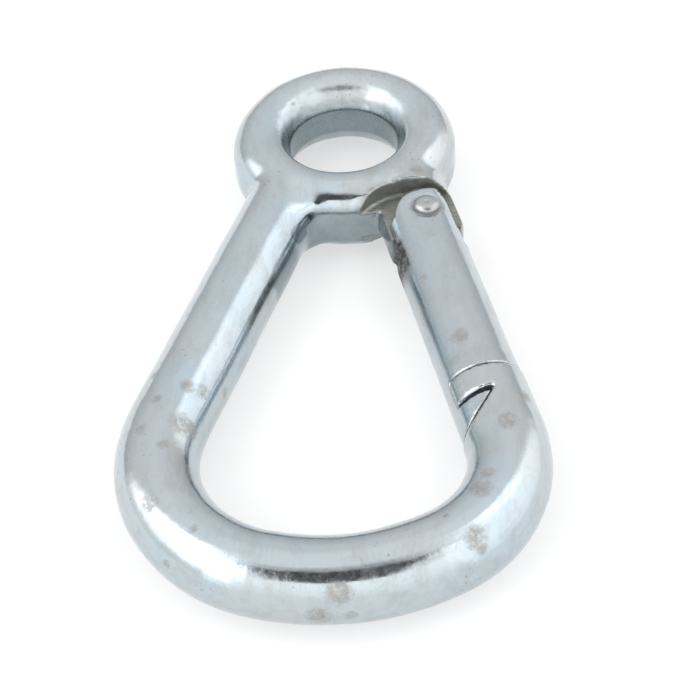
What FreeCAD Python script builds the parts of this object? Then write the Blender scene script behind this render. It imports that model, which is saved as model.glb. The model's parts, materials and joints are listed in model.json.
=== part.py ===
"""Forged snap hook with a fixed eye: hook forging, forked gate, rivet, spring and push pin.

Hook frame: origin at the centre of the eye, +Z square to the flat of the hook, +Y from the bow
to the eye, +X to the gate side.  Millimetres and degrees.

Gate frame: origin on the rivet axis, x along the gate towards the eye, y inwards across the
gate, z as the hook frame's.  The gate and everything cut to suit it are placed in this frame.
"""
import math
import os

import FreeCAD
import Part
import Sketcher
from FreeCAD import Vector

doc = FreeCAD.newDocument("SnapHook")

# ---------------------------------------------------------------- driving dimensions
sheet = doc.addObject("Spreadsheet::Sheet", "Sizes")
DIMENSIONS = [
    # forged bar and bow
    ("bar_radius", 6.5),
    ("bow_drop", 57.65),            # eye centre down to the centre of the bottom arc
    ("bow_radius", 35.85),          # centre line of the bottom arc
    ("bow_start", 255.4),           # where the bottom arc meets the left corner arc
    ("bow_end", 299.8),             # where it meets the right corner arc
    ("left_radius", 22.56),
    ("right_radius", 19.07),
    ("left_lean", 16.71),           # left leg off the Y axis
    ("gate_lean", 15.68),           # gate axis off the Y axis
    ("left_length", 55.1),
    # eye
    ("eye_radius", 14.45),          # centre line of the eye ring
    ("eye_wall", 5.15),             # centre line to the outer wall, and its rounding
    ("eye_side", 1.46),             # half the height of the straight outer wall
    ("eye_bore", 9.35),
    ("eye_land", 2.3),              # half the height of the straight wall in the bore
    ("lip_radius", 11.4),           # outer edge of the coned lip
    ("lip_height", 6.1),
    ("web_inner", 12.45),           # inner end of the web, inside the eye ring
    ("web_crest", 6.35),
    ("web_edge", 17.9),             # edge between the web's top and its front face
    ("web_shoulder", 5.6),
    ("web_face", 19.45),
    ("web_start", -117.0),
    ("web_sweep", 62.0),
    # pivot
    ("rivet_run", 48.54),           # bow tangent point to the rivet, along the gate axis
    ("gate_offset", 1.2),           # gate axis inwards of the rivet axis
    ("outer_offset", 0.6),          # axis of the outer bar of the shoulder
    ("shoulder_length", 19.0),
    ("shoulder_end", -8.0),
    ("tongue_half", 2.75),
    ("tongue_end_radius", 6.2),
    ("cam_offset", 2.2),            # centre of the cam end, inwards of the rivet axis
    ("recess_radius", 10.45),
    ("recess_back", -3.73),
    ("recess_in", 3.38),
    ("ear_sweep", 6.15),            # the recess where the ends of the ears turn
    ("rivet_radius", 2.0),
    ("pivot_clearance", 0.06),
    ("head_radius", 2.2),
    ("head_rise", 1.15),
    ("ear_face", 5.35),             # height of the face that carries the rivet head
    ("scoop_radius", 60.0),
    ("scoop_ahead", 1.5),
    # nose and latch
    ("nose_length", 13.0),
    ("seam_radius", 38.55),         # nose end, struck from the rivet axis
    ("gate_end_radius", 38.25),
    ("slot_half", 2.75),
    ("neck_half", 2.55),
    ("slot_floor", -2.3),
    ("neck_back", -2.0),
    ("slot_end", -43.3),
    ("cheek_under", -42.83),        # underside of the cheeks
    ("neck_end", -43.05),
    ("latch_seat_radius", 18.0),
    ("latch_radius", 17.75),
    ("latch_back", -32.26),
    ("latch_in", 15.43),
    ("latch_sweep", 43.7),          # upper face of the T-head, struck from the rivet axis
    # gate
    ("gate_radius", 6.24),
    ("gate_tip", -52.0),
    ("fork_half", 2.9),
    ("fork_end", -8.1),
    ("ear_radius", 5.6),
    ("ear_chamfer", 4.83),          # rivet axis to the chamfered corner of the ears
    ("ear_chamfer_turn", 52.9),
    ("well_radius", 2.3),
    ("well_depth", 22.0),
    # push pin and spring
    ("pin_radius", 2.22),
    ("pin_gap", 0.03),
    ("pin_length", 6.5),
    ("stem_radius", 1.0),
    ("stem_length", 6.0),
    ("wire_radius", 0.3),
    ("coil_radius", 1.75),
    ("spring_pitch", 1.5),
    ("spring_gap", 0.05),           # left free at each end of the coil
    # cutters
    ("overshoot", 2.0),             # how far a cutter runs past the face it opens
]
for row, (alias, value) in enumerate(DIMENSIONS, start=1):
    sheet.set("A%d" % row, alias)
    sheet.set("B%d" % row, repr(value))
    sheet.setAlias("B%d" % row, alias)
doc.recompute()


def size(alias):
    """The number in a cell of the sheet."""
    return float(getattr(sheet, alias))


# ---------------------------------------------------------------- helpers
REACH = 30.0          # half size of the cutters that only have to clear the bar


def placed(obj, x="0", y="0", z="0", turn="0", tip="0"):
    """Bind an object's placement: tip about Y first, then turn about Z."""
    obj.setExpression("Placement", "create(<<placement>>; create(<<vector>>; %s; %s; %s); "
                      "create(<<rotation>>; %s; %s; 0))" % (x, y, z, turn, tip))
    return obj


def sized(kind, name, **sizes):
    """A Part object whose properties are bound to expressions."""
    obj = doc.addObject("Part::" + kind, name)
    for prop, expression in sizes.items():
        obj.setExpression(prop, str(expression))
    return obj


GATE_TURN = "(90 + Sizes.gate_lean)"
RIGHT_X = "((Sizes.bow_radius - Sizes.right_radius) * cos(Sizes.bow_end))"
RIGHT_Y = "((Sizes.bow_radius - Sizes.right_radius) * sin(Sizes.bow_end) - Sizes.bow_drop)"
GATE_FOOT_X = "(%s + Sizes.right_radius * cos(Sizes.gate_lean))" % RIGHT_X
GATE_FOOT_Y = "(%s + Sizes.right_radius * sin(Sizes.gate_lean))" % RIGHT_Y
RIVET_X = ("(%s - Sizes.rivet_run * sin(Sizes.gate_lean) + Sizes.gate_offset * cos(Sizes.gate_lean))"
           % GATE_FOOT_X)
RIVET_Y = ("(%s + Sizes.rivet_run * cos(Sizes.gate_lean) + Sizes.gate_offset * sin(Sizes.gate_lean))"
           % GATE_FOOT_Y)


def in_gate(obj, x="0", y="0", z="0", tip="0"):
    """Place an object at a point of the gate frame."""
    world_x = "%s - (%s) * sin(Sizes.gate_lean) - (%s) * cos(Sizes.gate_lean)" % (RIVET_X, x, y)
    world_y = "%s + (%s) * cos(Sizes.gate_lean) - (%s) * sin(Sizes.gate_lean)" % (RIVET_Y, x, y)
    return placed(obj, world_x, world_y, z, GATE_TURN, tip)


def bar(name, radius, x_from, length, y="0"):
    """A round bar along the gate frame's x."""
    cylinder = sized("Cylinder", name, Radius=radius, Height=length)
    return in_gate(cylinder, x_from, y, "0", "90")


def post(name, radius, x="0", y="0", half=REACH, z=None):
    """An upright cylinder in the gate frame, from -half to half or standing on z."""
    cylinder = sized("Cylinder", name, Radius=radius, Height=2 * half if z is None else half)
    return in_gate(cylinder, x, y, str(-half) if z is None else z)


def block(name, x, y, z, length, width, height):
    """A box in the gate frame with its low corner at x, y, z."""
    box = sized("Box", name, Length=length, Width=width, Height=height)
    return in_gate(box, x, y, z)


def fused(name, *shapes):
    fuse = doc.addObject("Part::MultiFuse", name)
    fuse.Shapes = list(shapes)
    fuse.Refine = True
    return fuse


def cut(name, base, tool):
    result = doc.addObject("Part::Cut", name)
    result.Base = base
    result.Tool = tool
    result.Refine = True
    return result


def common(name, base, tool):
    result = doc.addObject("Part::Common", name)
    result.Base = base
    result.Tool = tool
    result.Refine = True
    return result


def arc_bar(name, radius, x, y, start, sweep):
    """A bent stretch of the forged bar: part of a torus lying flat."""
    torus = sized("Torus", name, Radius1=radius, Radius2="Sizes.bar_radius", Angle3=sweep)
    return placed(torus, x, y, "0", start)


# ---------------------------------------------------------------- hook_body
def revolved(name, corners, sweep="360"):
    """A ring turned about Z from a closed outline in the XZ plane.

    Each corner is (across, up, radius): radius is None for a straight side to the next corner,
    or the arc's radius, positive for an arc that runs clockwise.
    """
    body = doc.addObject("PartDesign::Body", name)
    plane = next(f for f in body.Origin.OriginFeatures if f.Role == "XZ_Plane")
    section = body.newObject("Sketcher::SketchObject", name + "Section")
    section.AttachmentSupport = [(plane, "")]
    section.MapMode = "FlatFace"
    count = len(corners)
    spots = [Vector(float(sheet.evalExpression(x)), float(sheet.evalExpression(y)), 0)
             for x, y, _ in corners]
    for i, (_, _, bulge) in enumerate(corners):
        here, there = spots[i], spots[(i + 1) % count]
        if bulge is None:
            section.addGeometry(Part.LineSegment(here, there), False)
            continue
        radius = float(sheet.evalExpression(bulge))
        chord = there - here
        side = Vector(chord.y, -chord.x, 0).normalize()
        middle = here + chord * 0.5 + side * math.sqrt(radius ** 2 - (chord.Length / 2) ** 2)
        start, end = [math.atan2(p.y - middle.y, p.x - middle.x) for p in (there, here)]
        circle = Part.Circle(middle, Vector(0, 0, 1), radius)
        section.addGeometry(Part.ArcOfCircle(circle, start, end), False)
    for i, (x, y, bulge) in enumerate(corners):
        after = (i + 1) % count
        first = 2 if bulge is None else 1          # an arc is drawn backwards
        second = 1 if corners[after][2] is None else 2
        section.addConstraint(Sketcher.Constraint("Coincident", i, first, after, second))
        point = 1 if bulge is None else 2
        for kind, value, expression in (("DistanceX", spots[i].x, x), ("DistanceY", spots[i].y, y)):
            index = section.addConstraint(Sketcher.Constraint(kind, -1, 1, i, point, value))
            section.setExpression("Constraints[%d]" % index, expression)
        if bulge is not None:
            index = section.addConstraint(
                Sketcher.Constraint("Radius", i, float(sheet.evalExpression(bulge))))
            section.setExpression("Constraints[%d]" % index, bulge)
    ring = body.newObject("PartDesign::Revolution", name + "Turned")
    ring.Profile = section
    ring.ReferenceAxis = (section, ["V_Axis"])
    ring.setExpression("Angle", sweep)
    return body


def eye_ring():
    """The eye: rounded outside, gently crowned faces, coned lips and a short straight bore."""
    wall = "(Sizes.eye_radius + Sizes.eye_wall)"
    top = "(Sizes.eye_side + Sizes.eye_wall)"
    crown = "(((Sizes.eye_radius - Sizes.lip_radius) ^ 2 + (%s - Sizes.lip_height) ^ 2)" \
            " / (2 * (%s - Sizes.lip_height)))" % (top, top)
    upper = [("Sizes.eye_bore", "Sizes.eye_land", None),
             ("Sizes.lip_radius", "Sizes.lip_height", crown),
             ("Sizes.eye_radius", top, "Sizes.eye_wall"),
             (wall, "Sizes.eye_side", None)]
    lower = [(wall, "-Sizes.eye_side", "Sizes.eye_wall"),
             ("Sizes.eye_radius", "-" + top, crown),
             ("Sizes.lip_radius", "-Sizes.lip_height", None),
             ("Sizes.eye_bore", "-Sizes.eye_land", None)]
    return revolved("EyeRing", upper + lower)


def eye_web():
    """The squarer front of the eye between the two legs."""
    web = revolved("EyeWeb", [("Sizes.web_inner", "Sizes.web_crest", None),
                              ("Sizes.web_edge", "Sizes.web_shoulder", None),
                              ("Sizes.web_face", "0", None),
                              ("Sizes.web_edge", "-Sizes.web_shoulder", None),
                              ("Sizes.web_inner", "-Sizes.web_crest", None)], "Sizes.web_sweep")
    return placed(web, turn="Sizes.web_start")


def bow_bars():
    """Left leg, left corner, bottom, right corner and nose, each tangent to the next."""
    left_x = "((Sizes.bow_radius - Sizes.left_radius) * cos(Sizes.bow_start))"
    left_y = "((Sizes.bow_radius - Sizes.left_radius) * sin(Sizes.bow_start) - Sizes.bow_drop)"
    left_start = "(180 - Sizes.left_lean)"
    leg = sized("Cylinder", "LeftLeg", Radius="Sizes.bar_radius", Height="Sizes.left_length")
    placed(leg, "%s - Sizes.left_radius * cos(Sizes.left_lean)" % left_x,
           "%s + Sizes.left_radius * sin(Sizes.left_lean)" % left_y, "0",
           "90 - Sizes.left_lean", "90")
    left = arc_bar("LeftCorner", "Sizes.left_radius", left_x, left_y, left_start,
                   "Sizes.bow_start - %s" % left_start)
    bottom = arc_bar("BowBottom", "Sizes.bow_radius", "0", "-Sizes.bow_drop", "Sizes.bow_start",
                     "Sizes.bow_end - Sizes.bow_start")
    right = arc_bar("RightCorner", "Sizes.right_radius", RIGHT_X, RIGHT_Y, "Sizes.bow_end",
                    "360 + Sizes.gate_lean - Sizes.bow_end")
    nose = bar("NoseBar", "Sizes.bar_radius", "-Sizes.rivet_run", "Sizes.nose_length",
               "Sizes.gate_offset")
    nose_end = cut("NoseEnd", nose, post("SeamSweep", "Sizes.seam_radius"))
    return [leg, left, bottom, right, nose_end]


def shoulder():
    """The forged stub that carries the gate, before its faces are milled to the tongue."""
    blank = fused("ShoulderBlank",
                  bar("ShoulderInner", "Sizes.bar_radius", "Sizes.shoulder_end",
                      "Sizes.shoulder_length", "Sizes.gate_offset"),
                  bar("ShoulderOuter", "Sizes.bar_radius", "Sizes.shoulder_end",
                      "Sizes.shoulder_length", "Sizes.outer_offset"))
    end = "Sizes.tongue_end_radius"
    outline = fused("TongueOutline",
                    post("TongueEnd", end),
                    post("CamEnd", end, "0", "Sizes.cam_offset"),
                    block("CamFlat", "-" + end, "0", str(-REACH), end, "Sizes.cam_offset", 2 * REACH),
                    block("ShoulderKeep", "0", str(-REACH), str(-REACH), REACH, 2 * REACH, 2 * REACH))
    return common("Shoulder", blank, outline)


def recess_cutters():
    """Round milled recess above and below the tongue, with room for the ears to turn."""
    top = post("RecessTop", "Sizes.recess_radius", "Sizes.recess_back", "Sizes.recess_in",
               REACH, "Sizes.tongue_half")
    low = post("RecessLow", "Sizes.recess_radius", "Sizes.recess_back", "Sizes.recess_in",
               REACH, "-Sizes.tongue_half - %s" % REACH)
    ear_top = post("EarSweepTop", "Sizes.ear_sweep", "0", "0", REACH, "Sizes.tongue_half")
    ear_low = post("EarSweepLow", "Sizes.ear_sweep", "0", "0", REACH,
                   "-Sizes.tongue_half - %s" % REACH)
    return [top, low, ear_top, ear_low]


def latch_cutters():
    """Slot between the two cheeks of the nose, and the wedge notch behind them."""
    slot = block("NoseSlot", "Sizes.slot_end", "Sizes.slot_floor", "-Sizes.slot_half",
                 "Sizes.overshoot - Sizes.slot_end - Sizes.seam_radius", REACH, "2 * Sizes.slot_half")
    seat = post("LatchSeat", "Sizes.latch_seat_radius", "Sizes.latch_back", "Sizes.latch_in")
    behind = block("BehindCheeks", "Sizes.cheek_under - %s" % REACH, str(-REACH), str(-REACH),
                   REACH, 2 * REACH, 2 * REACH)
    return [slot, common("LatchNotch", seat, behind)]


def hook_body():
    forging = fused("Forging", eye_ring(), eye_web(), shoulder(), *bow_bars())
    bore = post("TongueBore", "Sizes.rivet_radius + Sizes.pivot_clearance")
    cutters = fused("HookCutters", bore, *(recess_cutters() + latch_cutters()))
    body = cut("HookBody", forging, cutters)
    body.Label = "hook_body"
    return body


# ---------------------------------------------------------------- gate
def gate():
    blank = bar("GateBar", "Sizes.gate_radius", "Sizes.gate_tip", "Sizes.ear_radius - Sizes.gate_tip",
                "Sizes.gate_offset")
    shank = common("GateShank", blank, post("GateEndSweep", "Sizes.gate_end_radius"))
    neck_block = block("NeckBlock", "Sizes.neck_end", "Sizes.neck_back", "-Sizes.neck_half",
                       "Sizes.overshoot - Sizes.neck_end - Sizes.gate_end_radius", REACH,
                       "2 * Sizes.neck_half")
    neck = common("Neck", bar("NeckBar", "Sizes.gate_radius", "Sizes.gate_tip", REACH,
                              "Sizes.gate_offset"), neck_block)
    wedge = cut("Wedge", post("LatchFace", "Sizes.latch_radius", "Sizes.latch_back", "Sizes.latch_in"),
                post("LatchUpper", "Sizes.latch_sweep"))
    root = common("NeckRoot", post("RootFace", "Sizes.latch_radius", "Sizes.latch_back",
                                   "Sizes.latch_in"),
                  block("RootBlock", "Sizes.gate_tip", "Sizes.neck_back", "-Sizes.neck_half",
                        "-Sizes.gate_end_radius - Sizes.gate_tip", REACH, "2 * Sizes.neck_half"))
    head = common("LatchHead", bar("HeadBar", "Sizes.gate_radius", "Sizes.gate_tip", REACH,
                                   "Sizes.gate_offset"), fused("HeadOutline", wedge, root))
    ear = fused("EarOutline",
                post("EarDisc", "Sizes.ear_radius"),
                block("EarKeep", str(-2 * REACH), str(-REACH), str(-REACH), 2 * REACH, 2 * REACH,
                      2 * REACH))
    ear_bar = common("EaredBar", fused("GateBlank", shank, neck, head), ear)

    chamfer = sized("Box", "EarChamfer", Length=REACH, Width=2 * REACH, Height=2 * REACH)
    chamfer.setExpression("Placement", chamfer_placement())

    fork = block("ForkSlot", "Sizes.fork_end", str(-REACH), "-Sizes.fork_half", REACH, 2 * REACH,
                 "2 * Sizes.fork_half")
    scoops = [ear_scoop("Top", 1), ear_scoop("Low", -1)]
    well = bar("SpringWell", "Sizes.well_radius", "Sizes.fork_end - Sizes.well_depth",
               "Sizes.well_depth + Sizes.overshoot", "Sizes.gate_offset")
    bore = post("EarBore", "Sizes.rivet_radius")
    body = cut("Gate", ear_bar, fused("GateCutters", chamfer, fork, well, bore, *scoops))
    body.Label = "gate"
    return body


def ear_scoop(name, side):
    """Large shallow roll that presses the ear flat at the rivet and runs out along the gate."""
    scoop = sized("Cylinder", "EarScoop" + name, Radius="Sizes.scoop_radius", Height=2 * REACH)
    world_x = "%s - Sizes.scoop_ahead * sin(Sizes.gate_lean) + %s * cos(Sizes.gate_lean)" % (RIVET_X, REACH)
    world_y = "%s + Sizes.scoop_ahead * cos(Sizes.gate_lean) + %s * sin(Sizes.gate_lean)" % (RIVET_Y, REACH)
    scoop.setExpression("Placement", "create(<<placement>>; create(<<vector>>; %s; %s; %d * (Sizes.ear_face"
                        " + Sizes.scoop_radius)); create(<<rotation>>; %s + 90; 90; 0))"
                        % (world_x, world_y, side, GATE_TURN))
    return scoop


def chamfer_placement():
    """The box that takes the inner corner off the ears, turned in the gate frame."""
    turn = "Sizes.ear_chamfer_turn"
    x = "(Sizes.ear_chamfer * cos(%s) + %s * sin(%s))" % (turn, REACH, turn)
    y = "(Sizes.ear_chamfer * sin(%s) - %s * cos(%s))" % (turn, REACH, turn)
    world_x = "%s - %s * sin(Sizes.gate_lean) - %s * cos(Sizes.gate_lean)" % (RIVET_X, x, y)
    world_y = "%s + %s * cos(Sizes.gate_lean) - %s * sin(Sizes.gate_lean)" % (RIVET_Y, x, y)
    return ("create(<<placement>>; create(<<vector>>; %s; %s; %s); create(<<rotation>>; %s + %s; 0; 0))"
            % (world_x, world_y, -REACH, GATE_TURN, turn))


# ---------------------------------------------------------------- rivet
def gate_rivet():
    """Shank with a low dome at each end, seated on the flats of the ears."""
    shank = post("RivetShank", "Sizes.rivet_radius", half=REACH)
    shank.setExpression("Height", "2 * Sizes.ear_face")
    in_gate(shank, "0", "0", "-Sizes.ear_face")
    ball = "((Sizes.head_radius ^ 2 + Sizes.head_rise ^ 2) / (2 * Sizes.head_rise))"
    heads = []
    for name, side in (("Top", 1), ("Low", -1)):
        sphere = sized("Sphere", "Head%sBall" % name, Radius=ball)
        in_gate(sphere, "0", "0", "%d * (Sizes.ear_face + Sizes.head_rise - %s)" % (side, ball))
        if side > 0:
            limit = post("Head%sLimit" % name, "Sizes.head_radius", "0", "0", REACH, "Sizes.ear_face")
        else:
            limit = post("Head%sLimit" % name, "Sizes.head_radius", "0", "0", REACH,
                         "-Sizes.ear_face - %s" % REACH)
        heads.append(common("Head%s" % name, sphere, limit))
    body = fused("GateRivet", shank, *heads)
    body.Label = "gate_rivet"
    return body


# ---------------------------------------------------------------- push pin and spring
def spring_plunger():
    """Flat-ended pin that bears on the cam end of the tongue, with a stem inside the spring."""
    face = "(-Sizes.tongue_end_radius - Sizes.pin_gap)"
    head = bar("PinHead", "Sizes.pin_radius", "%s - Sizes.pin_length" % face, "Sizes.pin_length",
               "Sizes.gate_offset")
    stem = bar("PinStem", "Sizes.stem_radius", "%s - Sizes.pin_length - Sizes.stem_length" % face,
               "Sizes.stem_length", "Sizes.gate_offset")
    body = fused("SpringPlunger", head, stem)
    body.Label = "spring_plunger"
    return body


def gate_spring():
    """Round-wire coil between the bottom of the well and the pin's shoulder."""
    wire, coil = size("wire_radius"), size("coil_radius")
    pitch, gap = size("spring_pitch"), size("spring_gap")
    free = (size("well_depth") - size("fork_end") - size("tongue_end_radius") - size("pin_gap")
            - size("pin_length"))
    axial = free - 2 * (wire + gap)
    start = size("fork_end") - size("well_depth") + wire + gap
    helix = Part.makeHelix(pitch, axial, coil)
    section = Part.Wire(Part.Circle(Vector(coil, 0, 0), Vector(0, 1, pitch / (2 * math.pi * coil)),
                                    wire).toShape())
    solid = Part.Wire(helix.Edges).makePipeShell([section], True, True)
    body = doc.addObject("Part::Feature", "GateSpring")
    body.Shape = solid
    in_gate(body, str(start), "Sizes.gate_offset", "0", "90")
    body.Label = "gate_spring"
    return body


# ---------------------------------------------------------------- build, check, write
subparts = [hook_body(), gate(), gate_rivet(), gate_spring(), spring_plunger()]
doc.recompute()

faulty = [obj.Name for obj in doc.Objects if {"Invalid", "Error"} & set(obj.State)]
if faulty:
    raise RuntimeError("objects that failed to recompute: %s" % ", ".join(faulty))
for part in subparts:
    if part.Shape.isNull() or not part.Shape.isValid():
        raise RuntimeError("%s has a null or invalid shape" % part.Label)
    if len(part.Shape.Solids) != 1:
        raise RuntimeError("%s should be one solid" % part.Label)

os.makedirs("parts", exist_ok=True)
for part in subparts:
    part.Shape.exportStep("parts/%s.step" % part.Label)
    box = part.Shape.BoundBox
    print("%-16s %9.1f mm3  x %.2f..%.2f  y %.2f..%.2f  z %.2f..%.2f"
          % (part.Label, part.Shape.Volume, box.XMin, box.XMax, box.YMin, box.YMax, box.ZMin, box.ZMax))
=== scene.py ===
import json
import math

import bpy
from mathutils import Matrix, Vector, noise
from mathutils.bvhtree import BVHTree


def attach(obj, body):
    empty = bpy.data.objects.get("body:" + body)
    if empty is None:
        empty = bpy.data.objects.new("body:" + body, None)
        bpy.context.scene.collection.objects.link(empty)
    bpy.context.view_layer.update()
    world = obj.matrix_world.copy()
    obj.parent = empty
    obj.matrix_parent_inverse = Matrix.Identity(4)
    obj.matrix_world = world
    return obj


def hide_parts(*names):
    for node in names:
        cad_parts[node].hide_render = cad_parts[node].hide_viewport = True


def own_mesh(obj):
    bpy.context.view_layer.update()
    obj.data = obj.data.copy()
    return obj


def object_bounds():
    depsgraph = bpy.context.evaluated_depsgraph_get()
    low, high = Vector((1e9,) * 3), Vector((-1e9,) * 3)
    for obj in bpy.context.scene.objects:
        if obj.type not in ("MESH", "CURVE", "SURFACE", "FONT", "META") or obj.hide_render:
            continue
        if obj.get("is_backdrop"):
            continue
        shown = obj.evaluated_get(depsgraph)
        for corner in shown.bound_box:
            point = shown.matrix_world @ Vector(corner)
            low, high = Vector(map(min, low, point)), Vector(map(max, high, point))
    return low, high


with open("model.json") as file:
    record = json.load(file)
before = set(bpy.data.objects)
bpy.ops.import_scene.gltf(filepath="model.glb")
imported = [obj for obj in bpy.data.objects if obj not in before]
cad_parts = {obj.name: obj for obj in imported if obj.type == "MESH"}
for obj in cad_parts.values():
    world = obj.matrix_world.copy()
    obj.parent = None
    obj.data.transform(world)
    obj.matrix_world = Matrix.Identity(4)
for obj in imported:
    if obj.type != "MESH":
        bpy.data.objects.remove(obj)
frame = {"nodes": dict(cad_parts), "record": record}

low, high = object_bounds()

MM = 0.001
NODES = frame["nodes"]
JOINTS = {joint["name"]: joint for joint in frame["record"]["behaviour"]["joints"]}

# The gate frame: origin on the rivet axis, x along the gate towards the eye, y inwards, z up.
RIVET = Vector(JOINTS["gate_hinge"]["pos_m"])
ALONG = -Vector(JOINTS["pin_slide"]["axis"])
INWARD = Vector((0, 0, 1)).cross(ALONG)

# Sizes of the object, in millimetres, as the CAD part has them.
EYE_RADIUS = 19.6
LIP_RADIUS = 11.4                            # where the eye's coned lip meets its round back
CROTCH = (-5.2, -20.5)                       # corner between the left leg and the front of the eye
TONGUE_HALF = 2.75                           # half the thickness of the tongue in the gate's fork
RECESS_RADIUS = 10.45                        # milled round the tongue, about RECESS_CENTRE
RECESS_CENTRE = (-3.73, 3.38)                # in the gate frame
RECESS_END = -9                              # x in the gate frame where the recess stops
EAR_SWEEP = 6.15                             # cut that the gate's ears turn in, about the rivet
EAR_FACE = 5.35                              # height of an ear's flat top
EAR_FLAT = 3.9                               # radius of that flat, about the rivet
EAR_ROLL = 1.75                              # radius of the edge rolled over beyond it
GATE_MIDDLE = -20                            # x in the gate frame, half way to the seam
SHANK_RADIUS = 2.0
HEAD_RADIUS = 2.2
HEAD_RISE = 1.15

# Sizes of the looks, in millimetres.
HOOK_VOXEL = 0.30
GATE_VOXEL = 0.20
SKIN = 0.01                                  # how far the forging stays inside its top and bottom
FILLER = (-5.6, -19.1, 2.0, 5.5)             # wedge in the crotch: x, y, radius and half height
FILLER_TURN = 30                             # degrees, which faces its flat side into the loop
RIVET_PRESS = 0.14                           # depth of the ring pressed round a rivet head
HOOK_SINK = 0.06                             # the skins are drawn in, to leave room for their waves
GATE_SINK = 0.05


# ---------------------------------------------------------------- small helpers
def gate_coords(place):
    """The gate-frame coordinates, in millimetres, of a place in the scene."""
    offset = place - RIVET
    return offset.dot(ALONG) / MM, offset.dot(INWARD) / MM, place.z / MM


def ramp(value, start, end):
    """0 at start, 1 at end, smooth between."""
    t = min(max((value - start) / (end - start), 0.0), 1.0)
    return t * t * (3 - 2 * t)


def linear(code):
    """An sRGB hex colour as linear RGBA."""
    channels = [int(code[i:i + 2], 16) / 255 for i in (1, 3, 5)]
    return tuple(c / 12.92 if c <= 0.04045 else ((c + 0.055) / 1.055) ** 2.4 for c in channels) + (1.0,)


def only(piece):
    """Select one object and make it the active one."""
    bpy.ops.object.select_all(action="DESELECT")
    piece.select_set(True)
    bpy.context.view_layer.objects.active = piece


def join(pieces):
    """Join objects into the first one, and put its place into its mesh."""
    only(pieces[0])
    for piece in pieces[1:]:
        piece.select_set(True)
    bpy.ops.object.join()
    bpy.ops.object.transform_apply(location=True, rotation=True, scale=True)


def modify(piece, kind, **settings):
    """Add a modifier and apply it at once."""
    only(piece)
    modifier = piece.modifiers.new(kind.title(), kind)
    for key, value in settings.items():
        setattr(modifier, key, value)
    bpy.ops.object.modifier_apply(modifier=modifier.name)


def merged_copy(node, name):
    """A copy of a CAD node with its loose triangles joined into one skin."""
    piece = NODES[node].copy()
    piece.data = NODES[node].data.copy()
    piece.name = piece.data.name = name
    piece.parent = None
    bpy.context.scene.collection.objects.link(piece)
    piece.matrix_world = Matrix.Identity(4)
    piece.data.materials.clear()
    only(piece)
    bpy.ops.object.mode_set(mode="EDIT")
    bpy.ops.mesh.select_all(action="SELECT")
    bpy.ops.mesh.remove_doubles(threshold=0.002 * MM)
    bpy.ops.mesh.customdata_custom_splitnormals_clear()
    bpy.ops.object.mode_set(mode="OBJECT")
    return piece


def weigh(piece, name, weight):
    """A vertex group whose weights come from each point's place."""
    group = piece.vertex_groups.new(name=name)
    for vertex in piece.data.vertices:
        amount = weight(vertex.co)
        if amount > 0.001:
            group.add([vertex.index], amount, "REPLACE")
    return group.name


def stain(piece, name, amount):
    """A point attribute, 0 to 1, that a material reads."""
    layer = piece.data.attributes.new(name, "FLOAT", "POINT")
    for vertex in piece.data.vertices:
        layer.data[vertex.index].value = amount(vertex)


def near(piece):
    """A function giving the distance from a place to a piece's surface."""
    tree = BVHTree.FromPolygons([v.co for v in piece.data.vertices],
                                [p.vertices for p in piece.data.polygons])
    def distance(place, reach=6 * MM):
        hit = tree.find_nearest(place, reach)
        return hit[3] if hit[0] is not None else reach
    return distance


# ---------------------------------------------------------------- materials
def add(tree, kind, inputs=None, **settings):
    """Add a node, give it its settings, and set or link its inputs."""
    made = tree.nodes.new(kind)
    for key, value in settings.items():
        setattr(made, key, value)
    for socket, value in (inputs or {}).items():
        if isinstance(value, bpy.types.NodeSocket):
            tree.links.new(value, made.inputs[socket])
        else:
            made.inputs[socket].default_value = value
    return made


def fresh(name):
    """A new material with an empty tree, its shader and its output."""
    material = bpy.data.materials.new(name)
    material.use_nodes = True
    tree = material.node_tree
    tree.nodes.clear()
    shader = add(tree, "ShaderNodeBsdfPrincipled")
    add(tree, "ShaderNodeOutputMaterial", {"Surface": shader.outputs["BSDF"]})
    return material, tree, shader


# Sizes of the patterns in the zinc plate, in millimetres.
TONE = 12                                    # slow changes of tone
STAIN = 3                                    # width of a faint stain, two and a half times as long
CRUMBLE = 0.9                                # crumbs in the marks and in the dirt
PIT_SPACING = 1.3
PIT_GROUP = 9
FROST = 0.3
PEEL = 1.4                                   # orange peel
GRAIN = 0.35
BUMP_DEPTH = 0.035


def stain_marks(tree, spot, crumble, blot):
    """Faint stains all over and crumbled marks where blot is high: the marks, then both."""
    drawn = add(tree, "ShaderNodeMapping", {"Vector": spot, "Scale": (1.0, 0.4, 1.0)})
    patch = add(tree, "ShaderNodeTexNoise", {"Vector": drawn.outputs["Vector"], "Scale": 1 / STAIN,
                                             "Detail": 8.0, "Roughness": 0.66, "Distortion": 0.3})
    faint = add(tree, "ShaderNodeMapRange", {"Value": patch.outputs["Fac"], "From Min": 0.47,
                                             "From Max": 0.72, "To Max": 0.5})
    marked = add(tree, "ShaderNodeMath", {0: crumble, 1: blot}, operation="MULTIPLY")
    mark = add(tree, "ShaderNodeMapRange", {"Value": marked.outputs[0], "From Min": 0.18,
                                            "From Max": 0.62}, interpolation_type="SMOOTHSTEP")
    stains = add(tree, "ShaderNodeMath", {0: faint.outputs["Result"], 1: mark.outputs["Result"]},
                 operation="MAXIMUM")
    return mark.outputs["Result"], stains.outputs[0]


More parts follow.
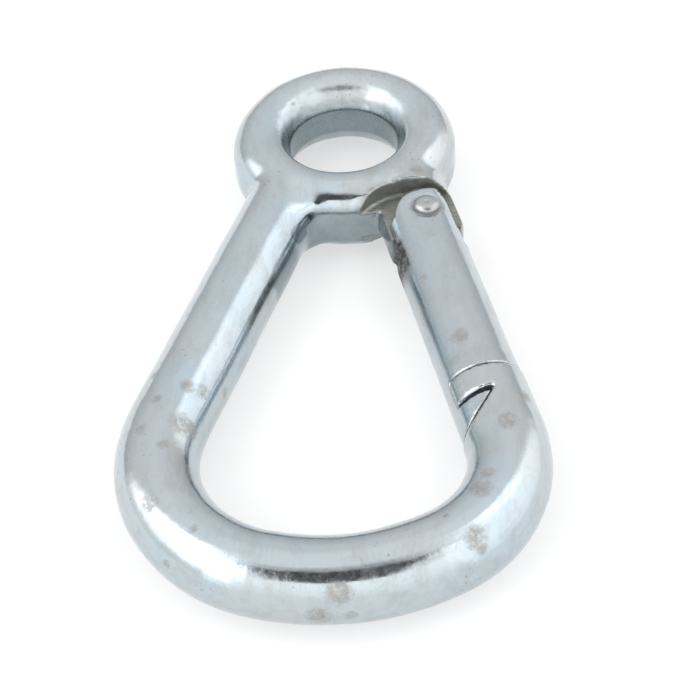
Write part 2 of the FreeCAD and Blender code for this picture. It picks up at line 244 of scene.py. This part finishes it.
def pit_marks(tree, spot, mark):
    """Pits about 0.3 mm across, in loose groups and in the marks."""
    pits = add(tree, "ShaderNodeTexVoronoi", {"Vector": spot, "Scale": 1 / PIT_SPACING,
                                              "Randomness": 1.0})
    pit = add(tree, "ShaderNodeMapRange", {"Value": pits.outputs["Distance"], "From Min": 0.2,
                                           "From Max": 0.08}, interpolation_type="SMOOTHSTEP")
    group = add(tree, "ShaderNodeTexNoise", {"Vector": spot, "Scale": 1 / PIT_GROUP, "Detail": 2.0})
    where = add(tree, "ShaderNodeMapRange", {"Value": group.outputs["Fac"], "From Min": 0.56,
                                             "From Max": 0.66})
    there = add(tree, "ShaderNodeMath", {0: where.outputs["Result"], 1: mark}, operation="MAXIMUM")
    return add(tree, "ShaderNodeMath", {0: pit.outputs["Result"], 1: there.outputs[0]},
               operation="MULTIPLY").outputs[0]


def milled_steel(tree, spot):
    """Raw milled steel: brushed olive grey."""
    brushed = add(tree, "ShaderNodeMapping", {"Vector": spot, "Rotation": (0, 0, math.radians(-20)),
                                              "Scale": (0.25, 2.4, 1.0)})
    scratch = add(tree, "ShaderNodeTexNoise", {"Vector": brushed.outputs["Vector"], "Scale": 1.6,
                                               "Detail": 6.0, "Roughness": 0.65})
    steel = add(tree, "ShaderNodeMapRange", {"Value": scratch.outputs["Fac"], "From Min": 0.35,
                                             "From Max": 0.7})
    return add(tree, "ShaderNodeMix", {"Factor": steel.outputs["Result"], 6: linear("#74766F"),
                                       7: linear("#A5A8A2")}, data_type="RGBA").outputs[2]


def dirt_with_packed_shade(tree, crumble, grime_and_shade):
    """Brown dirt and painted shade where the pieces meet, nearly black painted shade where it is packed:
    its cover and its colour.
    """
    crust = add(tree, "ShaderNodeMapRange", {"Value": crumble, "From Min": 0.3, "From Max": 0.7,
                                             "To Min": 0.45, "To Max": 1.3})
    dirt_and_shade_cover = add(tree, "ShaderNodeMath", {0: grime_and_shade, 1: crust.outputs["Result"]}, operation="MULTIPLY",
               use_clamp=True)
    packed_shade = add(tree, "ShaderNodeMapRange", {"Value": grime_and_shade, "From Min": 0.7, "From Max": 1.0})
    # The near-black colour is painted shade in the gaps between the pieces.
    dirt_and_shade_colour = add(tree, "ShaderNodeMix", {"Factor": packed_shade.outputs["Result"], 6: linear("#574F40"),
                                       7: linear("#24211D")}, data_type="RGBA")
    return dirt_and_shade_cover.outputs[0], dirt_and_shade_colour.outputs[2]


def zinc(name, clean, warm, stained, polish, shift):
    """Bright zinc plate over forged steel: a worn semi-mirror with dull stains and pits.

    clean, warm and stained are its colours, polish is the roughness of the brightest parts and shift
    moves the pattern so that no two pieces share it.  It reads five attributes of the piece: machined,
    the dirt that is painted shade where it is packed, stain, worn, and the painted shade of the bore, the
    eye's front wall and the tongue.
    """
    material, tree, shader = fresh(name)
    place = add(tree, "ShaderNodeTexCoord").outputs["Object"]
    spot = add(tree, "ShaderNodeMapping", {"Vector": place, "Location": (shift, 0, 0),
                                           "Scale": (1 / MM, 1 / MM, 1 / MM)}).outputs["Vector"]
    raw, grime_and_shade, blot, worn, painted_shade = [
        add(tree, "ShaderNodeAttribute", attribute_name=attribute).outputs["Fac"]
        for attribute in ("machined", "grime_and_shade", "stain", "worn", "painted_shade")]
    crumble = add(tree, "ShaderNodeTexNoise", {"Vector": spot, "Scale": 1 / CRUMBLE, "Detail": 5.0,
                                               "Roughness": 0.7}).outputs["Fac"]
    mark, stains = stain_marks(tree, spot, crumble, blot)
    pitted = pit_marks(tree, spot, mark)
    dirt_and_shade_cover, dirt_and_shade_colour = dirt_with_packed_shade(tree, crumble, grime_and_shade)

    # Colour: the plate's two tones, then painted shade in the bore, on the eye's front wall and on the
    # tongue, then stains, pits, the milled faces, and the dirt over them, nearly black painted shade where
    # it is packed.
    tone = add(tree, "ShaderNodeTexNoise", {"Vector": spot, "Scale": 1 / TONE, "Detail": 3.0})
    cloud = add(tree, "ShaderNodeMapRange", {"Value": tone.outputs["Fac"], "From Min": 0.3,
                                             "From Max": 0.7})
    colour = add(tree, "ShaderNodeMix", {"Factor": cloud.outputs["Result"], 6: linear(clean),
                                         7: linear(warm)}, data_type="RGBA").outputs[2]
    dull = add(tree, "ShaderNodeMath", {0: stains, 1: 0.6}, operation="MULTIPLY").outputs[0]
    speck = add(tree, "ShaderNodeMath", {0: pitted, 1: 0.5}, operation="MULTIPLY").outputs[0]
    for amount, over in ((painted_shade, linear("#8E9BA1")), (dull, linear(stained)), (speck, linear("#6F6553")),
                         (raw, milled_steel(tree, spot)), (dirt_and_shade_cover, dirt_and_shade_colour)):
        colour = add(tree, "ShaderNodeMix", {"Factor": amount, 6: colour, 7: over},
                     data_type="RGBA").outputs[2]
    tree.links.new(colour, shader.inputs["Base Color"])

    # Fine frosting makes a sharp and a broad reflection at once; stains and worn parts are duller.
    frost = add(tree, "ShaderNodeTexNoise", {"Vector": spot, "Scale": 1 / FROST, "Detail": 3.0,
                                             "Roughness": 0.6})
    gloss = add(tree, "ShaderNodeMapRange", {"Value": frost.outputs["Fac"], "From Min": 0.42,
                                             "From Max": 0.66, "To Min": polish, "To Max": polish + 0.12})
    rough = gloss.outputs["Result"]
    for amount, extra in ((stains, 0.2), (worn, 0.2), (raw, 0.28), (dirt_and_shade_cover, 0.3)):
        rough = add(tree, "ShaderNodeMath", {0: amount, 1: extra, 2: rough}, operation="MULTIPLY_ADD",
                    use_clamp=True).outputs[0]
    tree.links.new(rough, shader.inputs["Roughness"])
    # Dirt and the painted shade packed in the gaps aren't metal, and stains only partly cover it.
    cover = add(tree, "ShaderNodeMath", {0: stains, 1: 0.35, 2: dirt_and_shade_cover}, operation="MULTIPLY_ADD",
                use_clamp=True)
    metal = add(tree, "ShaderNodeMapRange", {"Value": cover.outputs[0], "To Min": 0.95, "To Max": 0.15})
    tree.links.new(metal.outputs["Result"], shader.inputs["Metallic"])

    # Orange peel under a fine grain, then the pits and the marks.
    peel = add(tree, "ShaderNodeTexNoise", {"Vector": spot, "Scale": 1 / PEEL, "Detail": 3.0})
    grain = add(tree, "ShaderNodeTexNoise", {"Vector": spot, "Scale": 1 / GRAIN, "Detail": 2.0})
    relief = peel.outputs["Fac"]
    for amount, depth in ((grain.outputs["Fac"], 0.12), (pitted, -0.7), (mark, -0.25)):
        relief = add(tree, "ShaderNodeMath", {0: amount, 1: depth, 2: relief},
                     operation="MULTIPLY_ADD").outputs[0]
    bump = add(tree, "ShaderNodeBump", {"Height": relief, "Strength": 0.5, "Distance": BUMP_DEPTH * MM})
    tree.links.new(bump.outputs["Normal"], shader.inputs["Normal"])
    return material


def shade(code, factor):
    """A hex colour darkened by a factor."""
    return "#" + "".join("%02X" % round(int(code[i:i + 2], 16) * factor) for i in (1, 3, 5))


def plain_metal(name, colour, roughness, grain_mm):
    """Bare steel with a fine grain, for the small hidden pieces."""
    material, tree, shader = fresh(name)
    place = add(tree, "ShaderNodeTexCoord").outputs["Object"]
    grain = add(tree, "ShaderNodeTexNoise", {"Vector": place, "Scale": 1 / (grain_mm * MM),
                                             "Detail": 4.0})
    tint = add(tree, "ShaderNodeMix", {"Factor": grain.outputs["Fac"], 6: linear(colour),
                                       7: linear(shade(colour, 0.8))}, data_type="RGBA")
    tree.links.new(tint.outputs[2], shader.inputs["Base Color"])
    dull = add(tree, "ShaderNodeMapRange", {"Value": grain.outputs["Fac"], "To Min": roughness - 0.08,
                                            "To Max": roughness + 0.12})
    tree.links.new(dull.outputs["Result"], shader.inputs["Roughness"])
    shader.inputs["Metallic"].default_value = 1.0
    bump = add(tree, "ShaderNodeBump", {"Height": grain.outputs["Fac"], "Strength": 0.3,
                                        "Distance": 0.02 * MM})
    tree.links.new(bump.outputs["Normal"], shader.inputs["Normal"])
    return material


# ---------------------------------------------------------------- the hook forging
def in_recess(place):
    """1 on the faces milled for the gate's ears, 0 elsewhere."""
    x, y, z = gate_coords(place)
    from_cutter = math.hypot(x - RECESS_CENTRE[0], y - RECESS_CENTRE[1]) - RECESS_RADIUS
    from_sweep = math.hypot(x, y) - EAR_SWEEP
    inside = ramp(min(from_cutter, from_sweep), 0.25, -0.05)
    if x < RECESS_END or abs(z) > 6:
        return 0.0
    floor = ramp(abs(z), TONGUE_HALF + 0.5, TONGUE_HALF + 0.2)
    top = ramp(abs(z), TONGUE_HALF - 0.5, TONGUE_HALF - 0.25)
    wall = ramp(abs(from_cutter), 0.4, 0.15) * inside
    swept = ramp(abs(from_sweep), 0.4, 0.2) * (from_cutter > 0)
    return max(inside * floor * top, max(wall, swept) * ramp(z, TONGUE_HALF - 0.4, TONGUE_HALF))


def junction(place):
    """Weight of the long fillets where the legs run into the eye."""
    radius = math.hypot(place.x, place.y) / MM
    ring_side = ramp(abs(radius - EYE_RADIUS), 7.0, 2.5)
    below = ramp(place.y / MM, -4.0, -9.0)
    x, y, _ = gate_coords(place)
    clear = ramp(math.hypot(x - RECESS_CENTRE[0], y - RECESS_CENTRE[1]), RECESS_RADIUS + 0.8,
                 RECESS_RADIUS + 2.8)
    return ring_side * below * clear


def lip(place):
    """Weight of the worn edge where the eye's coned lip meets its round back."""
    radius = math.hypot(place.x, place.y) / MM
    return ramp(abs(radius - LIP_RADIUS - 0.6), 2.6, 1.2) * ramp(abs(place.z) / MM, 3.0, 4.5)


def hammered(place):
    """Weight of the beaten patch on the far side of both lips."""
    radius = math.hypot(place.x, place.y) / MM
    ring = ramp(abs(radius - 11.2), 2.2, 1.0)
    return ring * ramp(place.y / MM, -2.0, 5.0) * ramp(abs(place.z) / MM, 2.4, 3.2)


def crotch(place):
    """Weight of the deep fillet between the left leg and the front of the eye."""
    return ramp(math.hypot(place.x / MM - CROTCH[0], place.y / MM - CROTCH[1]), 5.5, 2.0)


def latch(place):
    """Weight of the close-fitting latch and seam, which keep their CAD shape.

    It goes by the place along the gate alone, so the far side of the bow keeps its shape there too.
    """
    x, _, _ = gate_coords(place)
    return ramp(x, -34.0, -36.0) * ramp(x, -52.0, -49.0)


def waves(place, span, depth):
    """Height of hammer waves at a place, in metres; their span and depth are in millimetres."""
    return noise.noise(place / (span * MM)) * depth * MM


def swell(piece, depth):
    """Push each point along its normal by a depth that depends on its place, and level it off."""
    normals = [v.normal.copy() for v in piece.data.vertices]
    for vertex, normal in zip(piece.data.vertices, normals):
        vertex.co += normal * depth(vertex.co)
        vertex.co.z = min(max(vertex.co.z, low[2] + SKIN * MM), high[2] - SKIN * MM)


def fill_crotch(piece):
    """Join an upright wedge into the corner, for the smoothing to turn into a fillet."""
    bpy.ops.object.select_all(action="DESELECT")
    x, y, radius, half_height = [size * MM for size in FILLER]
    bpy.ops.mesh.primitive_cylinder_add(vertices=3, radius=radius, depth=2 * half_height,
                                        location=(x, y, 0), rotation=(0, 0, math.radians(FILLER_TURN)))
    join([piece, bpy.context.object])


def hook_relief(place):
    """Hammer waves, fainter on milled faces, and none where the gate's end fits."""
    skin = waves(place, 11, 0.10) * (1 - in_recess(place)) + waves(place, 4.5, 0.04) - HOOK_SINK * MM
    return (skin + hammered(place) * waves(place, 1.2, 0.04)) * (1 - latch(place))


def hook_forging():
    """The hook's forging, with its fillets smoothed and its skin lightly hammered."""
    piece = merged_copy("hook_body", "hook_forging")
    fill_crotch(piece)
    modify(piece, "REMESH", mode="VOXEL", voxel_size=HOOK_VOXEL * MM, use_smooth_shade=True)
    modify(piece, "SMOOTH", factor=0.5, iterations=2)
    for weight, rounds in ((junction, 110), (crotch, 260), (lip, 200)):
        modify(piece, "SMOOTH", factor=0.5, iterations=rounds,
               vertex_group=weigh(piece, weight.__name__, weight))
    piece.vertex_groups.clear()
    swell(piece, hook_relief)
    modify(piece, "DECIMATE", ratio=0.5)
    return piece


# ---------------------------------------------------------------- the gate
def rivet_seat(place):
    """Depth of the ring pressed into the ear round the rivet head."""
    x, y, z = gate_coords(place)
    if abs(z) < 4:
        return 0.0
    radius = math.hypot(x, y)
    return ramp(radius, 1.9, 2.35) * ramp(radius, 3.1, 2.65)


def ear_height(place):
    """How high the top of an ear may be: flat round the rivet, rolled over towards its end."""
    x, y, _ = gate_coords(place)
    beyond = min(math.hypot(x, y) - EAR_FLAT, EAR_ROLL)
    if x < 0 or beyond < 0:
        return 1.0
    return (EAR_FACE - EAR_ROLL + math.sqrt(EAR_ROLL ** 2 - beyond ** 2)) * MM


def gate_relief(place):
    """Slight waves, and none where the gate's end fits."""
    return (waves(place, 10, 0.06) + waves(place, 4, 0.02) - GATE_SINK * MM) * (1 - latch(place))


def gate_bar():
    """The gate, with its ears rolled over at their ends and pressed in round the rivet heads."""
    piece = merged_copy("gate", "gate_bar")
    modify(piece, "REMESH", mode="VOXEL", voxel_size=GATE_VOXEL * MM, use_smooth_shade=True)
    modify(piece, "SMOOTH", factor=0.5, iterations=2)
    swell(piece, gate_relief)
    modify(piece, "DECIMATE", ratio=0.6)
    for vertex in piece.data.vertices:
        side = 1 if vertex.co.z > 0 else -1
        height = min(abs(vertex.co.z), ear_height(vertex.co))
        vertex.co.z = side * (height - RIVET_PRESS * MM * rivet_seat(vertex.co))
    return piece


# ---------------------------------------------------------------- the rivet
def rivet_head(side):
    """A low dome, a little out of round, with a small punch mark in the middle."""
    bpy.ops.mesh.primitive_uv_sphere_add(segments=64, ring_count=48, radius=1.0, location=(0, 0, 0))
    head = bpy.context.object
    for vertex in head.data.vertices:
        turned = math.atan2(vertex.co.y, vertex.co.x)
        across = min(math.hypot(vertex.co.x, vertex.co.y), 1.0)
        up = (1 - across ** 3.4) ** 0.55 if vertex.co.z > 0 else max(vertex.co.z, -0.25)
        punch = 0.14 * math.exp(-(across / 0.13) ** 2) if vertex.co.z > 0 else 0.0
        out_of_round = 1 + 0.02 * math.cos(2 * turned + 1) + 0.01 * math.cos(5 * turned)
        spread = across * HEAD_RADIUS * out_of_round
        vertex.co = RIVET + Vector((math.cos(turned) * spread, math.sin(turned) * spread,
                                    side * (EAR_FACE - 0.12 + (up - punch) * HEAD_RISE))) * MM
    return head


def rivet():
    """Shank and two set-down heads."""
    bpy.ops.object.select_all(action="DESELECT")
    bpy.ops.mesh.primitive_cylinder_add(vertices=48, radius=SHANK_RADIUS * MM,
                                        depth=2 * (EAR_FACE - 0.1) * MM, location=RIVET)
    shank = bpy.context.object
    join([shank, rivet_head(1), rivet_head(-1)])
    bpy.ops.object.mode_set(mode="EDIT")
    bpy.ops.mesh.select_all(action="SELECT")
    bpy.ops.mesh.normals_make_consistent(inside=False)
    bpy.ops.object.mode_set(mode="OBJECT")
    bpy.ops.object.shade_smooth_by_angle(angle=math.radians(35))
    shank.name = shank.data.name = "rivet"
    return shank


# ---------------------------------------------------------------- the spring
def coil():
    """The gate's spring, a copy of the CAD spring with a mesh of its own."""
    piece = merged_copy("gate_spring", "gate_coil")
    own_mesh(piece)
    return piece


# ---------------------------------------------------------------- pieces
hook = hook_forging()
gate = gate_bar()
pin = rivet()
spring = coil()

to_gate, to_hook, to_pin = near(gate), near(hook), near(pin)

# Worn and stained patches of the plating: x, y, z and reach, in millimetres.
HOOK_STAINS = [(0, -100, 0, 3.0), (4.5, -100, 0, 1.6), (3, -99, 4, 3.2), (-18, -89, 6, 1.2),
               (-25, -84, 6, 2.4), (-21, -68, 4, 2.6), (-22, -68, 5, 3.0), (-22, -92, 2, 1.2),
               (-19, -61, 5, 2.2), (-21.5, -61, 6, 2.0), (-16.5, -58, 1, 1.3), (-27, -58, 5, 1.4),
               (18, -87, 6, 0.9), (22, -90, 5, 2.8), (23, -91, 4, 1.6), (23, -82, 6, 2.6),
               (24, -79, 6, 1.8), (27, -69, 6, 2.6), (30, -63, 5, 1.8), (-9, 7, 6, 0.9),
               (-23, -45, 5, 0.8), (17, 3, 6, 0.9), (13, -12, 6, 2.0),
               (-27.5, -70, 5.5, 2.0), (-24, -73, 6, 1.6), (-26, -64, 6, 1.5)]
GATE_STAINS = [(15, -35, 6, 0.5), (15.5, -44, 4, 0.5), (14, -37, 5, 1.4), (20, -51, 6, 2.4)]


def stained(places):
    """A function giving how near a vertex is to any of the stains."""
    middles = [(Vector((x, y, z)) * MM, reach * MM) for x, y, z, reach in places]
    def amount(vertex):
        return max(ramp((vertex.co - middle).length / reach, 1.25, 0.3) for middle, reach in middles)
    return amount


def forging_grime_and_shade(vertex):
    """Dirt on the forging beside the gate and round the rim of the recess, with painted shade where the
    pieces meet, and nearly black painted shade round the tongue's end.
    """
    x, y, z = gate_coords(vertex.co)
    apart = to_gate(vertex.co) / MM
    if x < GATE_MIDDLE:
        return 0.55 * ramp(apart, 0.5, 0.2)
    # Painted shade: the tongue's end is made nearly black.
    tongue_end_shade = (y < 12) * ramp(x, -3.2, -4.1) * ramp(abs(z), 3.4, 2.9) * ramp(apart, 4.5, 2.0)
    from_cutter = math.hypot(x - RECESS_CENTRE[0], y - RECESS_CENTRE[1]) - RECESS_RADIUS
    above_floor = ramp(abs(z), TONGUE_HALF - 0.1, TONGUE_HALF + 0.4) * (x > RECESS_END)
    rim = ramp(abs(from_cutter), 1.3, 0.1) * above_floor
    pocket = in_recess(vertex.co) * ramp(x, 0.5, 2.5) * ramp(apart, 2.6, 1.2)
    return max(0.3 * ramp(apart, 0.8, 0.25), tongue_end_shade, 0.35 * rim, 0.25 * pocket)


def gate_grime_and_shade(vertex):
    """Dirt on the gate beside the forging and round the rivet head, with painted shade where the pieces
    meet, and nearly black painted shade inside the fork and its throat.
    """
    x, y, z = gate_coords(vertex.co)
    apart = to_hook(vertex.co) / MM
    if x < GATE_MIDDLE:
        return 0.55 * ramp(apart, 0.5, 0.2)
    ring = 0.7 * ramp(to_pin(vertex.co) / MM, 0.75, 0.1) * (abs(z) > 4)
    # Painted shade: the inside of the fork and its throat are made nearly black.
    inside = ramp(abs(z), 3.2, 2.8) * (x > RECESS_END)
    throat_shade = ramp(y, 3.6, 5.6) * ramp(x, -15.0, -10.5) * ramp(x, -3.0, -6.0) * ramp(z, 4.8, 3.7)
    return max(0.4 * ramp(apart, 0.8, 0.25), ring, inside, throat_shade)


def rubbed(vertex):
    """Duller metal on the beaten lips of the eye, down in its bore and behind the gate's ears."""
    radius = math.hypot(vertex.co.x, vertex.co.y) / MM
    x, y, _ = gate_coords(vertex.co)
    behind_ear = in_recess(vertex.co) * ramp(x, 2.0, 3.5) * ramp(y, 1.5, -1.0)
    return max(hammered(vertex.co), 0.6 * ramp(abs(radius - 11.0), 3.2, 1.8), behind_ear)


def painted_shade_weight(vertex):
    """Painted shade: darker plating in the bore, on the eye's front wall and on the tongue.

    The tongue is picked by its place along the gate alone, so the flanks of the left leg level with it
    are darker too.
    """
    radius = math.hypot(vertex.co.x, vertex.co.y) / MM
    bore = ramp(radius, 10.3, 9.5) * ramp(abs(vertex.co.z) / MM, 4.2, 2.4)
    front = ramp(radius, 18.2, 19.3) * ramp(radius, 23.5, 21.0) * ramp(vertex.co.y / MM, -13, -16)
    front *= ramp(vertex.co.z / MM, 4.6, 3.4) * ramp(abs(vertex.co.x / MM - 1.5), 10, 7)
    x, _, z = gate_coords(vertex.co)
    tongue = ramp(x, 1.0, -1.0) * ramp(x, -9.0, -8.0) * ramp(abs(z), 3.2, 2.6)
    return max(bore, 0.8 * front, tongue)


# Each attribute that the zinc reads, and its amount on the hook, the gate and the rivet. The last row is
# painted shade, and the dirt row is painted shade where it is packed.
SURFACE_MARKS_AND_SHADE = (("machined", lambda v: in_recess(v.co), lambda v: 0.0, lambda v: 0.0),
          ("grime_and_shade", forging_grime_and_shade, gate_grime_and_shade,
           lambda v: 0.6 * ramp(abs(v.co.z) / MM, EAR_FACE + 0.5, EAR_FACE + 0.1)),
          ("stain", stained(HOOK_STAINS), stained(GATE_STAINS), lambda v: 0.0),
          ("worn", rubbed, lambda v: 0.0, lambda v: 0.4),
          ("painted_shade", painted_shade_weight, lambda v: 0.0, lambda v: 0.0))
for name, *amounts in SURFACE_MARKS_AND_SHADE:
    for piece, amount in zip((hook, gate, pin), amounts):
        stain(piece, name, amount)

forging_zinc = zinc("zinc_plated_drop_forging", clean="#B4C2CA", warm="#BAC0C2", stained="#7F7464",
                    polish=0.08, shift=0)
gate_zinc = zinc("zinc_plated_gate_bar", clean="#B2C0C8", warm="#B8BDBF", stained="#82786A",
                 polish=0.10, shift=37)
rivet_zinc = zinc("zinc_plated_rivet_head", clean="#A8AEB3", warm="#ABADAE", stained="#8F897F",
                  polish=0.2, shift=71)
spring_steel = plain_metal("drawn_spring_wire", "#8A8A86", roughness=0.3, grain_mm=0.4)
pin_steel = plain_metal("turned_steel_pin", "#9A9C9B", roughness=0.28, grain_mm=0.3)

for piece, node, body, slot, material in (
        (hook, "hook_body", "hook", "forged_zinc_steel", forging_zinc),
        (gate, "gate", "gate_arm", "gate_zinc_steel", gate_zinc),
        (pin, "gate_rivet", "gate_arm", "rivet_steel", rivet_zinc),
        (spring, "gate_spring", "gate_arm", "spring_wire", spring_steel)):
    piece.data.materials.append(material)
    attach(piece, body)
    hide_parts(node)

NODES["spring_plunger"].data.materials.clear()
NODES["spring_plunger"].data.materials.append(pin_steel)


# ---------------------------------------------------------------- floor
TABLE_SIZE = 6.0
TABLE_GLOW = 0.5                             # light that comes up through the table


def pale_floor():
    """White acrylic lit from below: it looks even, and is a little dark where the hook covers it."""
    bpy.ops.object.select_all(action="DESELECT")
    bpy.ops.mesh.primitive_plane_add(size=TABLE_SIZE, location=(0, 0, low[2]))
    floor = bpy.context.object
    floor.name = "floor"
    material, _, shader = fresh("white_acrylic_light_table")
    shader.inputs["Base Color"].default_value = linear("#B8B8B8")
    shader.inputs["Roughness"].default_value = 0.9
    shader.inputs["Emission Color"].default_value = (1, 1, 1, 1)
    shader.inputs["Emission Strength"].default_value = TABLE_GLOW
    floor.data.materials.append(material)
    floor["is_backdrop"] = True


pale_floor()


# ---------------------------------------------------------------- light tent
# Each panel is (from, centre azimuth, centre elevation, half width, half height, soft edge, change):
# azimuths count from the back (+Y) or the front (-Y) towards +X, in degrees.
PANELS = [
    ("back", -104, 33, 38, 35, 5, 0.45),      # left wall
    ("back", -104, 41, 36, 26, 7, 1.10),      # lamp through the left wall
    ("back", 86, 33, 44, 35, 6, 0.75),        # right wall
    ("back", 60, 53, 9, 12, 5, 0.50),         # lamp through the right wall
    ("back", 97, 60, 8, 8, 4, -0.45),         # seam in the right wall
    ("front", 0, 20, 52, 26, 5, 0.62),        # front curtain
]
# Glow of the tent at each height, from straight down (-1) to straight up (1).
TENT_HEIGHTS = [(-1.0, 0.8), (0.0, 0.62), (0.26, 0.80), (0.5, 0.96), (0.71, 1.0), (0.87, 1.18), (1.0, 1.2)]
# The dark slot in the roof, as slopes from the object: x or y over z.
SLOT_X = (-0.44, 0.47, 0.02)                 # left end, right end and soft edge
SLOT_FRONT = (-0.95, -0.91)                  # lit, then dark
SLOT_BACK = (-0.35, -0.08)                   # dark, then lit


def light_tent():
    """A white tent with soft panels and the dark slot that the lens looks through."""
    world = bpy.data.worlds.new("light_tent")
    bpy.context.scene.world = world
    world.use_nodes = True
    tree = world.node_tree
    tree.nodes.clear()
    toward = add(tree, "ShaderNodeTexCoord").outputs["Generated"]
    axes = add(tree, "ShaderNodeSeparateXYZ", {0: toward})
    x, y, z = axes.outputs
    back_y = add(tree, "ShaderNodeMath", {0: y, 1: -1.0}, operation="MULTIPLY").outputs[0]
    turn = {"back": add(tree, "ShaderNodeMath", {0: x, 1: y}, operation="ARCTAN2").outputs[0],
            "front": add(tree, "ShaderNodeMath", {0: x, 1: back_y}, operation="ARCTAN2").outputs[0]}
    climb = add(tree, "ShaderNodeMath", {0: z}, operation="ARCSINE").outputs[0]

    height = add(tree, "ShaderNodeMapRange", {"Value": z, "From Min": -1.0, "From Max": 1.0})
    wall = add(tree, "ShaderNodeValToRGB", {0: height.outputs["Result"]})
    brightest = max(glow for _, glow in TENT_HEIGHTS)
    stops = wall.color_ramp.elements
    for level, _ in TENT_HEIGHTS[1:-1]:
        stops.new((level + 1) / 2)
    for stop, (_, glow) in zip(stops, TENT_HEIGHTS):
        stop.color = (glow / brightest, glow / brightest, glow / brightest, 1)
    total = add(tree, "ShaderNodeMath", {0: wall.outputs[0], 1: brightest}, operation="MULTIPLY").outputs[0]

    for start, azimuth, elevation, wide, tall, soft, change in PANELS:
        masks = []
        for angle, centre, half in ((turn[start], azimuth, wide), (climb, elevation, tall)):
            off = add(tree, "ShaderNodeMath", {0: angle, 1: math.radians(centre)}, operation="SUBTRACT")
            size = add(tree, "ShaderNodeMath", {0: off.outputs[0]}, operation="ABSOLUTE")
            masks.append(add(tree, "ShaderNodeMapRange",
                             {"Value": size.outputs[0], "From Min": math.radians(half + soft),
                              "From Max": math.radians(half - soft)},
                             interpolation_type="SMOOTHSTEP").outputs["Result"])
        panel = add(tree, "ShaderNodeMath", {0: masks[0], 1: masks[1]}, operation="MULTIPLY")
        total = add(tree, "ShaderNodeMath", {0: panel.outputs[0], 1: change, 2: total},
                    operation="MULTIPLY_ADD").outputs[0]

    # The slot is a rectangle in the flat roof.
    side = add(tree, "ShaderNodeMath", {0: x, 1: z}, operation="DIVIDE").outputs[0]
    ahead = add(tree, "ShaderNodeMath", {0: y, 1: z}, operation="DIVIDE").outputs[0]
    start, end, soft = SLOT_X
    dark = add(tree, "ShaderNodeMath", {0: z, 1: 0.0}, operation="GREATER_THAN").outputs[0]
    for slope, outside, inside in ((side, start - soft, start + soft), (side, end + soft, end - soft),
                                   (ahead, *SLOT_FRONT), (ahead, *reversed(SLOT_BACK))):
        edge = add(tree, "ShaderNodeMapRange", {"Value": slope, "From Min": outside, "From Max": inside})
        dark = add(tree, "ShaderNodeMath", {0: dark, 1: edge.outputs["Result"]},
                   operation="MULTIPLY").outputs[0]
    lit = add(tree, "ShaderNodeMapRange", {"Value": dark, "To Min": 1.0, "To Max": 0.03})
    glow = add(tree, "ShaderNodeMath", {0: total, 1: lit.outputs["Result"]}, operation="MULTIPLY")
    sky = add(tree, "ShaderNodeBackground", {"Strength": glow.outputs[0]})
    sky.inputs["Color"].default_value = (1, 1, 1, 1)
    add(tree, "ShaderNodeOutputWorld", {"Surface": sky.outputs[0]})


light_tent()


# ---------------------------------------------------------------- camera
CAMERA_TURN = math.radians(5.289)            # to the right of straight in front
CAMERA_CLIMB = math.radians(46.075)
CAMERA_ROLL = math.radians(-4.571)
CAMERA_AWAY = 302.35 * MM
AIM = Vector((2.599, -48.113, 0)) * MM
LENS = 97.714


def camera():
    """A long lens over the front of the hook, tipped a little to one side."""
    data = bpy.data.cameras.new("camera")
    data.lens = LENS
    data.sensor_width = 36
    data.clip_start, data.clip_end = 0.01, 20
    made = bpy.data.objects.new("camera", data)
    bpy.context.scene.collection.objects.link(made)
    back = Vector((math.sin(CAMERA_TURN) * math.cos(CAMERA_CLIMB),
                   -math.cos(CAMERA_TURN) * math.cos(CAMERA_CLIMB), math.sin(CAMERA_CLIMB)))
    right = Vector((math.cos(CAMERA_TURN), math.sin(CAMERA_TURN), 0))
    up = back.cross(right)
    side = right * math.cos(CAMERA_ROLL) + up * math.sin(CAMERA_ROLL)
    top = back.cross(side)
    made.matrix_world = Matrix((side, top, back)).transposed().to_4x4()
    made.location = AIM + back * CAMERA_AWAY
    bpy.context.scene.camera = made


camera()
bpy.context.scene.view_settings.view_transform = "Standard"

low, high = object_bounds()
